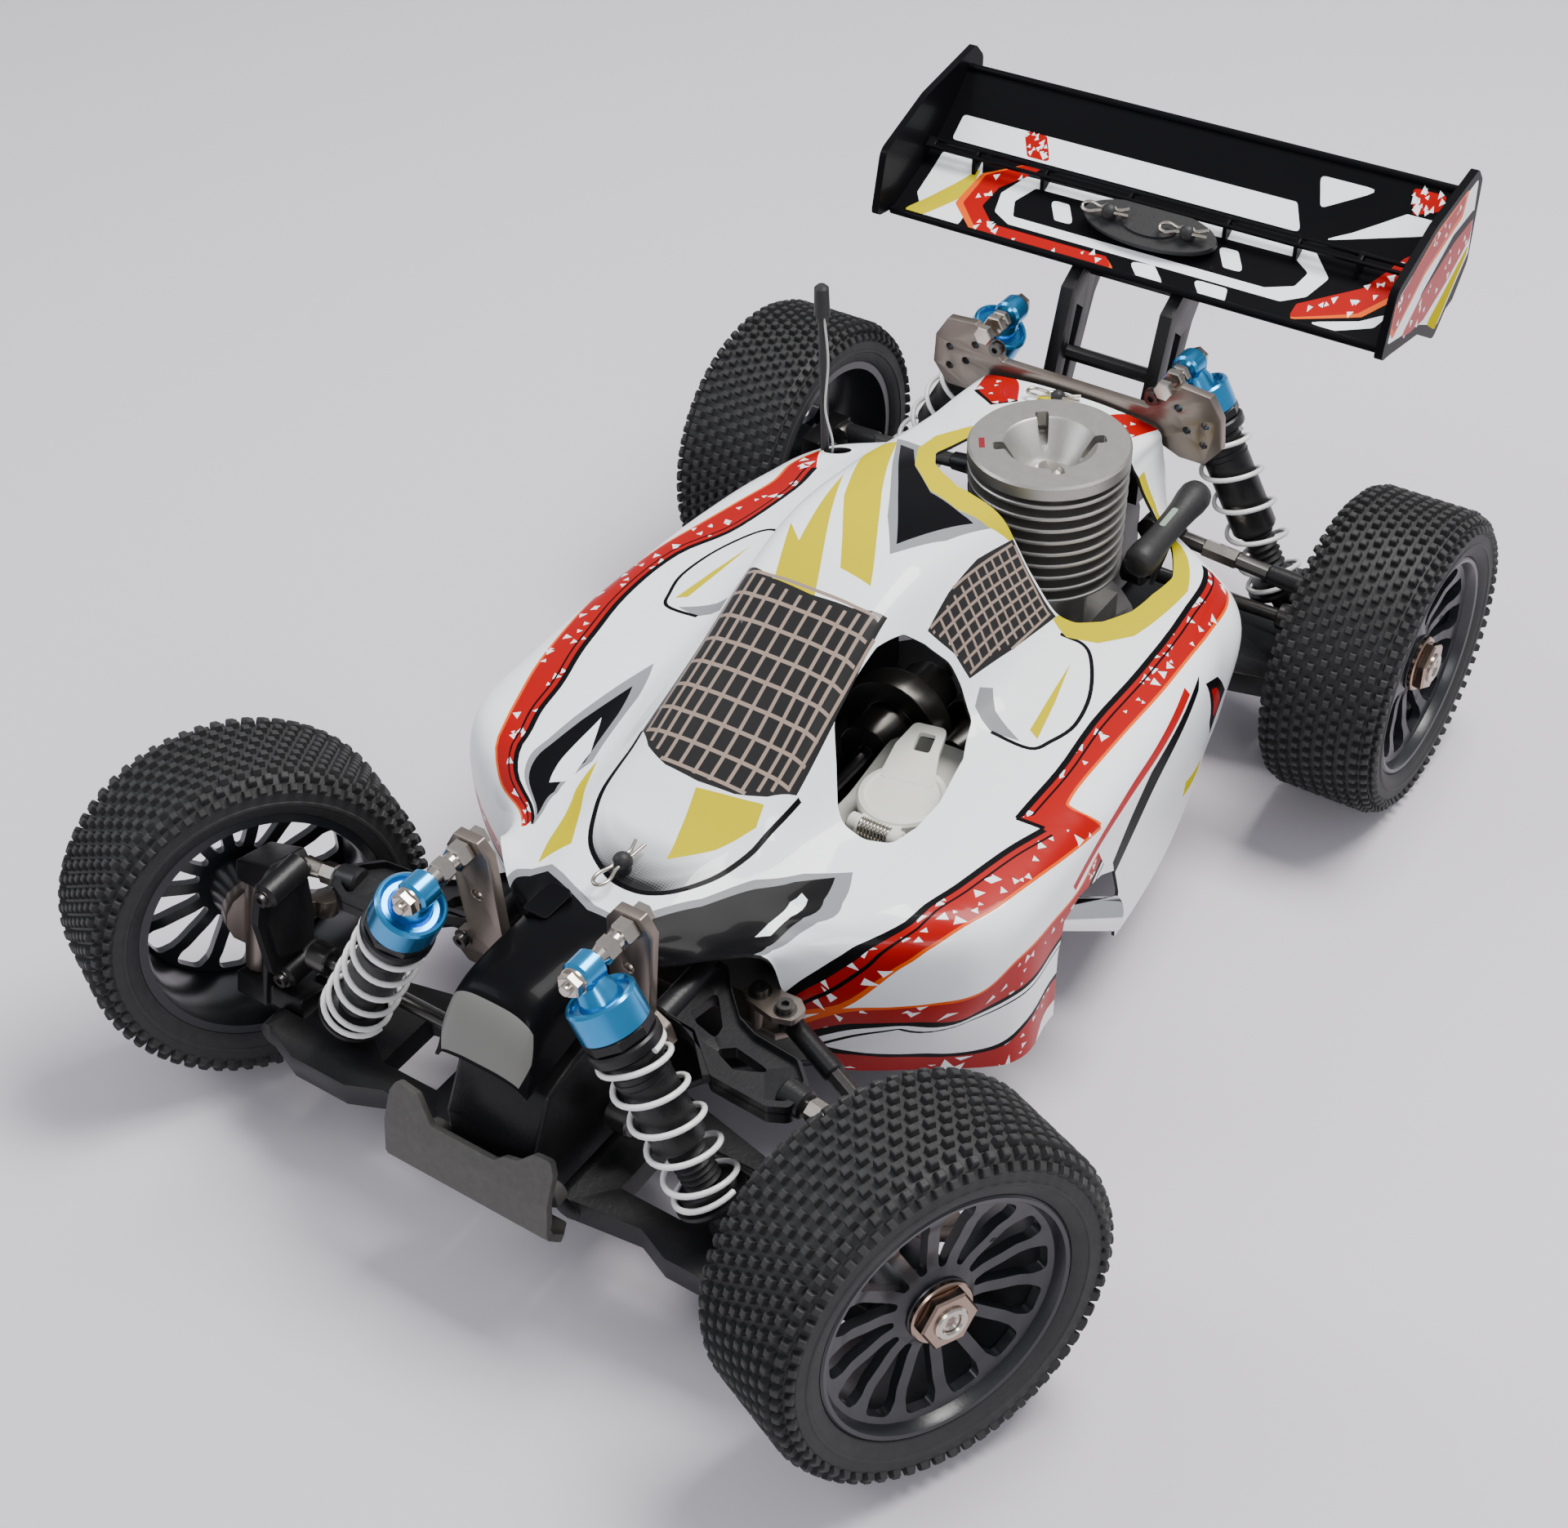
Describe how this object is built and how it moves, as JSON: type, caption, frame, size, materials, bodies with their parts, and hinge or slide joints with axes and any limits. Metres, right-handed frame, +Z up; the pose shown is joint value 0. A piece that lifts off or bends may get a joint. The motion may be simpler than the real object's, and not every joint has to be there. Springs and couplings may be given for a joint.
{
  "type": "radio controlled buggy",
  "caption": "Nitro off-road radio controlled buggy with a painted shell, high rear wing, sprung wishbone corners, steered front wheels and pin tyres.",
  "frame": {"origin": "centre of the bounding box's base, on the ground the tyres stand on", "axes": "+Y towards the rear wing, -Y towards the nose, +X towards the car's left side, +Z up"},
  "size_m": [0.3458, 0.489, 0.2],
  "materials": {
    "chassis_alloy": "satin",
    "black_nylon": "matt",
    "bronze_alloy": "satin anodised",
    "wing_plastic": "gloss with printed graphics",
    "shell_plastic": "clear lacquer over printed graphics",
    "raw_alloy": "bead blasted",
    "tank_plastic": "translucent",
    "antenna_rubber": "matt",
    "chrome": "polished",
    "steel": "plated",
    "tyre_rubber": "matt",
    "rim_plastic": "satin",
    "blue_alloy": "gloss anodised",
    "spring_white": "gloss"
  },
  "bodies": {
    "chassis": {"chassis_plate": "chassis_alloy", "front_bumper": "black_nylon", "front_gearbox": "black_nylon", "rear_gearbox": "black_nylon", "wing_mount": "black_nylon", "wing_retainer": "black_nylon", "radio_box": "black_nylon", "steering_servo": "black_nylon", "front_shock_tower": "bronze_alloy", "rear_shock_tower": "bronze_alloy", "rear_wing": "wing_plastic", "body_shell": "shell_plastic", "engine_block": "raw_alloy", "cooling_head": "raw_alloy", "fuel_tank": "tank_plastic", "antenna_tube": "antenna_rubber", "exhaust_pipe": "chrome"},
    "arm_front_left": {"lower_arm_front_left": "black_nylon"},
    "carrier_front_left": {"hub_carrier_front_left": "black_nylon"},
    "knuckle_front_left": {"knuckle_front_left": "bronze_alloy"},
    "upper_front_left": {"upper_arm_front_left": "black_nylon"},
    "wheel_front_left": {"tyre_front_left": "tyre_rubber", "rim_front_left": "rim_plastic"},
    "damper_front_left": {"shock_body_front_left": "blue_alloy", "spring_front_left": "spring_white"},
    "shaft_front_left": {"shock_rod_front_left": "steel"},
    "arm_front_right": {"lower_arm_front_right": "black_nylon"},
    "carrier_front_right": {"hub_carrier_front_right": "black_nylon"},
    "knuckle_front_right": {"knuckle_front_right": "bronze_alloy"},
    "upper_front_right": {"upper_arm_front_right": "black_nylon"},
    "wheel_front_right": {"tyre_front_right": "tyre_rubber", "rim_front_right": "rim_plastic"},
    "damper_front_right": {"shock_body_front_right": "blue_alloy", "spring_front_right": "spring_white"},
    "shaft_front_right": {"shock_rod_front_right": "steel"},
    "arm_rear_left": {"lower_arm_rear_left": "black_nylon"},
    "hub_rear_left": {"rear_hub_left": "black_nylon"},
    "upper_rear_left": {"upper_link_rear_left": "steel"},
    "wheel_rear_left": {"tyre_rear_left": "tyre_rubber", "rim_rear_left": "rim_plastic"},
    "damper_rear_left": {"shock_body_rear_left": "blue_alloy", "spring_rear_left": "spring_white"},
    "shaft_rear_left": {"shock_rod_rear_left": "steel"},
    "arm_rear_right": {"lower_arm_rear_right": "black_nylon"},
    "hub_rear_right": {"rear_hub_right": "black_nylon"},
    "upper_rear_right": {"upper_link_rear_right": "steel"},
    "wheel_rear_right": {"tyre_rear_right": "tyre_rubber", "rim_rear_right": "rim_plastic"},
    "damper_rear_right": {"shock_body_rear_right": "blue_alloy", "spring_rear_right": "spring_white"},
    "shaft_rear_right": {"shock_rod_rear_right": "steel"},
    "steering_link": {"steering_plate": "bronze_alloy"},
    "servo_saver": {"servo_saver": "black_nylon"},
    "tie_rod_left": {"tie_rod_left": "steel"},
    "tie_rod_right": {"tie_rod_right": "steel"},
    "centre_drive": {"centre_drive": "steel"},
    "clutch_bell": {"clutch_bell": "steel"},
    "fuel_lid": {"fuel_lid": "tank_plastic"},
    "starter_grip": {"starter_grip": "black_nylon"}
  },
  "joints": [
    {"name": "suspension_front_left", "type": "hinge", "parent": "chassis", "child": "arm_front_left", "pos_m": [0.02477, -0.17896, 0.036], "axis": [0, -1, 0], "range_deg": [-10, 14], "stiffness_Nm_per_rad": 8, "springref_deg": -7.45},
    {"name": "carrier_hinge_front_left", "type": "hinge", "parent": "arm_front_left", "child": "carrier_front_left", "pos_m": [0.09977, -0.18496, 0.036], "axis": [0, -1, 0], "range_deg": [-14.72, 10.72]},
    {"name": "steering_left", "type": "hinge", "parent": "carrier_front_left", "child": "knuckle_front_left", "pos_m": [0.11877, -0.18046, 0.05708], "axis": [0, 0.2334, 0.9724], "range_deg": [-5, 52]},
    {"name": "upper_arm_hinge_front_left", "type": "hinge", "parent": "chassis", "child": "upper_front_left", "pos_m": [0.03377, -0.15196, 0.0865], "axis": [0, -1, 0], "range_deg": [-11.79, 16.19]},
    {"name": "wheel_spin_front_left", "type": "hinge", "parent": "knuckle_front_left", "child": "wheel_front_left", "pos_m": [0.13285, -0.18675, 0.05859], "axis": [0.9085, -0.4063, 0.0975], "continuous": true},
    {"name": "shock_swing_front_left", "type": "hinge", "parent": "chassis", "child": "damper_front_left", "pos_m": [0.03077, -0.19196, 0.1275], "axis": [0, -1, 0], "range_deg": [-1.29, 1.77]},
    {"name": "shock_stroke_front_left", "type": "slide", "parent": "damper_front_left", "child": "shaft_front_left", "axis": [-0.4796, 0, 0.8775], "range_m": [-0.0092, 0.01263], "deforming": ["spring_front_left"]},
    {"name": "suspension_front_right", "type": "hinge", "parent": "chassis", "child": "arm_front_right", "pos_m": [-0.02323, -0.17896, 0.036], "axis": [0, 1, 0], "range_deg": [-10, 14], "stiffness_Nm_per_rad": 8, "springref_deg": -7.45},
    {"name": "carrier_hinge_front_right", "type": "hinge", "parent": "arm_front_right", "child": "carrier_front_right", "pos_m": [-0.09823, -0.18496, 0.036], "axis": [0, 1, 0], "range_deg": [-14.72, 10.72]},
    {"name": "steering_right", "type": "hinge", "parent": "carrier_front_right", "child": "knuckle_front_right", "pos_m": [-0.11723, -0.18046, 0.06033], "axis": [0, 0.2334, 0.9724], "range_deg": [-6, 56]},
    {"name": "upper_arm_hinge_front_right", "type": "hinge", "parent": "chassis", "child": "upper_front_right", "pos_m": [-0.03223, -0.15196, 0.0865], "axis": [0, 1, 0], "range_deg": [-11.79, 16.19]},
    {"name": "wheel_spin_front_right", "type": "hinge", "parent": "knuckle_front_right", "child": "wheel_front_right", "pos_m": [-0.13101, -0.17354, 0.05867], "axis": [0.8886, -0.446, 0.1071], "continuous": true},
    {"name": "shock_swing_front_right", "type": "hinge", "parent": "chassis", "child": "damper_front_right", "pos_m": [-0.02923, -0.19196, 0.1275], "axis": [0, 1, 0], "range_deg": [-1.29, 1.77]},
    {"name": "shock_stroke_front_right", "type": "slide", "parent": "damper_front_right", "child": "shaft_front_right", "axis": [0.4796, 0, 0.8775], "range_m": [-0.0092, 0.01263], "deforming": ["spring_front_right"]},
    {"name": "suspension_rear_left", "type": "hinge", "parent": "chassis", "child": "arm_rear_left", "pos_m": [0.02477, 0.14404, 0.036], "axis": [0, -1, 0], "range_deg": [-10, 14], "stiffness_Nm_per_rad": 8, "springref_deg": -7.45},
    {"name": "hub_hinge_rear_left", "type": "hinge", "parent": "arm_rear_left", "child": "hub_rear_left", "pos_m": [0.09977, 0.14454, 0.036], "axis": [0, -1, 0], "range_deg": [-14.72, 10.72]},
    {"name": "upper_link_hinge_rear_left", "type": "hinge", "parent": "chassis", "child": "upper_rear_left", "pos_m": [0.03777, 0.13904, 0.082], "axis": [0, -1, 0], "range_deg": [-12.76, 17.52]},
    {"name": "wheel_spin_rear_left", "type": "hinge", "parent": "hub_rear_left", "child": "wheel_rear_left", "pos_m": [0.12837, 0.14454, 0.0575], "axis": [1, 0, 0], "continuous": true},
    {"name": "shock_swing_rear_left", "type": "hinge", "parent": "chassis", "child": "damper_rear_left", "pos_m": [0.03777, 0.15804, 0.141], "axis": [0, -1, 0], "range_deg": [-1.39, 1.91]},
    {"name": "shock_stroke_rear_left", "type": "slide", "parent": "damper_rear_left", "child": "shaft_rear_left", "axis": [-0.4741, 0, 0.8805], "range_m": [-0.01145, 0.01572], "deforming": ["spring_rear_left"]},
    {"name": "suspension_rear_right", "type": "hinge", "parent": "chassis", "child": "arm_rear_right", "pos_m": [-0.02323, 0.14404, 0.036], "axis": [0, 1, 0], "range_deg": [-10, 14], "stiffness_Nm_per_rad": 8, "springref_deg": -7.45},
    {"name": "hub_hinge_rear_right", "type": "hinge", "parent": "arm_rear_right", "child": "hub_rear_right", "pos_m": [-0.09823, 0.14454, 0.036], "axis": [0, 1, 0], "range_deg": [-14.72, 10.72]},
    {"name": "upper_link_hinge_rear_right", "type": "hinge", "parent": "chassis", "child": "upper_rear_right", "pos_m": [-0.03623, 0.13904, 0.082], "axis": [0, 1, 0], "range_deg": [-12.76, 17.52]},
    {"name": "wheel_spin_rear_right", "type": "hinge", "parent": "hub_rear_right", "child": "wheel_rear_right", "pos_m": [-0.12683, 0.14454, 0.0575], "axis": [1, 0, 0], "continuous": true},
    {"name": "shock_swing_rear_right", "type": "hinge", "parent": "chassis", "child": "damper_rear_right", "pos_m": [-0.03623, 0.15804, 0.141], "axis": [0, 1, 0], "range_deg": [-1.39, 1.91]},
    {"name": "shock_stroke_rear_right", "type": "slide", "parent": "damper_rear_right", "child": "shaft_rear_right", "axis": [0.4741, 0, 0.8805], "range_m": [-0.01145, 0.01572], "deforming": ["spring_rear_right"]},
    {"name": "steering_plate_slide", "type": "slide", "parent": "chassis", "child": "steering_link", "axis": [1, 0, 0], "range_m": [-0.021, 0.004]},
    {"name": "servo_saver_turn", "type": "hinge", "parent": "chassis", "child": "servo_saver", "pos_m": [-0.02123, -0.10396, 0.044], "axis": [0, 0, 1], "range_deg": [-43, 5]},
    {"name": "tie_rod_swing_left", "type": "hinge", "parent": "steering_link", "child": "tie_rod_left", "pos_m": [0.05277, -0.12996, 0.068], "axis": [0, -1, 0], "range_deg": [-10.4, 14.28]},
    {"name": "tie_rod_swing_right", "type": "hinge", "parent": "steering_link", "child": "tie_rod_right", "pos_m": [-0.02923, -0.12996, 0.068], "axis": [0, 1, 0], "range_deg": [-10.4, 14.28]},
    {"name": "drive_spin", "type": "hinge", "parent": "chassis", "child": "centre_drive", "pos_m": [0.00077, 0.01904, 0.056], "axis": [0, 1, 0], "continuous": true},
    {"name": "clutch_bell_spin", "type": "hinge", "parent": "chassis", "child": "clutch_bell", "pos_m": [0.02677, 0.02204, 0.056], "axis": [0, 1, 0], "continuous": true},
    {"name": "fuel_lid_hinge", "type": "hinge", "parent": "chassis", "child": "fuel_lid", "pos_m": [0.04477, -0.06496, 0.088], "axis": [1, 0, 0], "range_deg": [0, 70], "stiffness_Nm_per_rad": 0.03, "springref_deg": -22.92},
    {"name": "starter_pull", "type": "slide", "parent": "chassis", "child": "starter_grip", "axis": [0.2235, -0.1117, 0.9683], "range_m": [0, 0.03], "stiffness_N_per_m": 60, "springref_m": -0.01}
  ],
  "couplings": [
    {"joint": "carrier_hinge_front_left", "follows": "suspension_front_left", "ratio": -1},
    {"joint": "upper_arm_hinge_front_left", "follows": "suspension_front_left", "ratio": 1.1},
    {"joint": "shock_swing_front_left", "follows": "suspension_front_left", "ratio": 0.12},
    {"joint": "shock_stroke_front_left", "follows": "suspension_front_left", "m_per_rad": 0.04915},
    {"joint": "carrier_hinge_front_right", "follows": "suspension_front_right", "ratio": -1},
    {"joint": "steering_right", "follows": "steering_left", "ratio": 1.05},
    {"joint": "upper_arm_hinge_front_right", "follows": "suspension_front_right", "ratio": 1.1},
    {"joint": "shock_swing_front_right", "follows": "suspension_front_right", "ratio": 0.12},
    {"joint": "shock_stroke_front_right", "follows": "suspension_front_right", "m_per_rad": 0.04915},
    {"joint": "hub_hinge_rear_left", "follows": "suspension_rear_left", "ratio": -1},
    {"joint": "upper_link_hinge_rear_left", "follows": "suspension_rear_left", "ratio": 1.19},
    {"joint": "shock_swing_rear_left", "follows": "suspension_rear_left", "ratio": 0.13},
    {"joint": "shock_stroke_rear_left", "follows": "suspension_rear_left", "m_per_rad": 0.0612},
    {"joint": "hub_hinge_rear_right", "follows": "suspension_rear_right", "ratio": -1},
    {"joint": "upper_link_hinge_rear_right", "follows": "suspension_rear_right", "ratio": 1.19},
    {"joint": "shock_swing_rear_right", "follows": "suspension_rear_right", "ratio": 0.13},
    {"joint": "shock_stroke_rear_right", "follows": "suspension_rear_right", "m_per_rad": 0.0612},
    {"joint": "steering_plate_slide", "follows": "steering_left", "m_per_rad": -0.0215},
    {"joint": "servo_saver_turn", "follows": "steering_left", "ratio": -0.796},
    {"joint": "tie_rod_swing_left", "follows": "suspension_front_left", "ratio": 0.97},
    {"joint": "tie_rod_swing_right", "follows": "suspension_front_right", "ratio": 0.97},
    {"joint": "clutch_bell_spin", "follows": "drive_spin", "ratio": -3.2333}
  ]
}
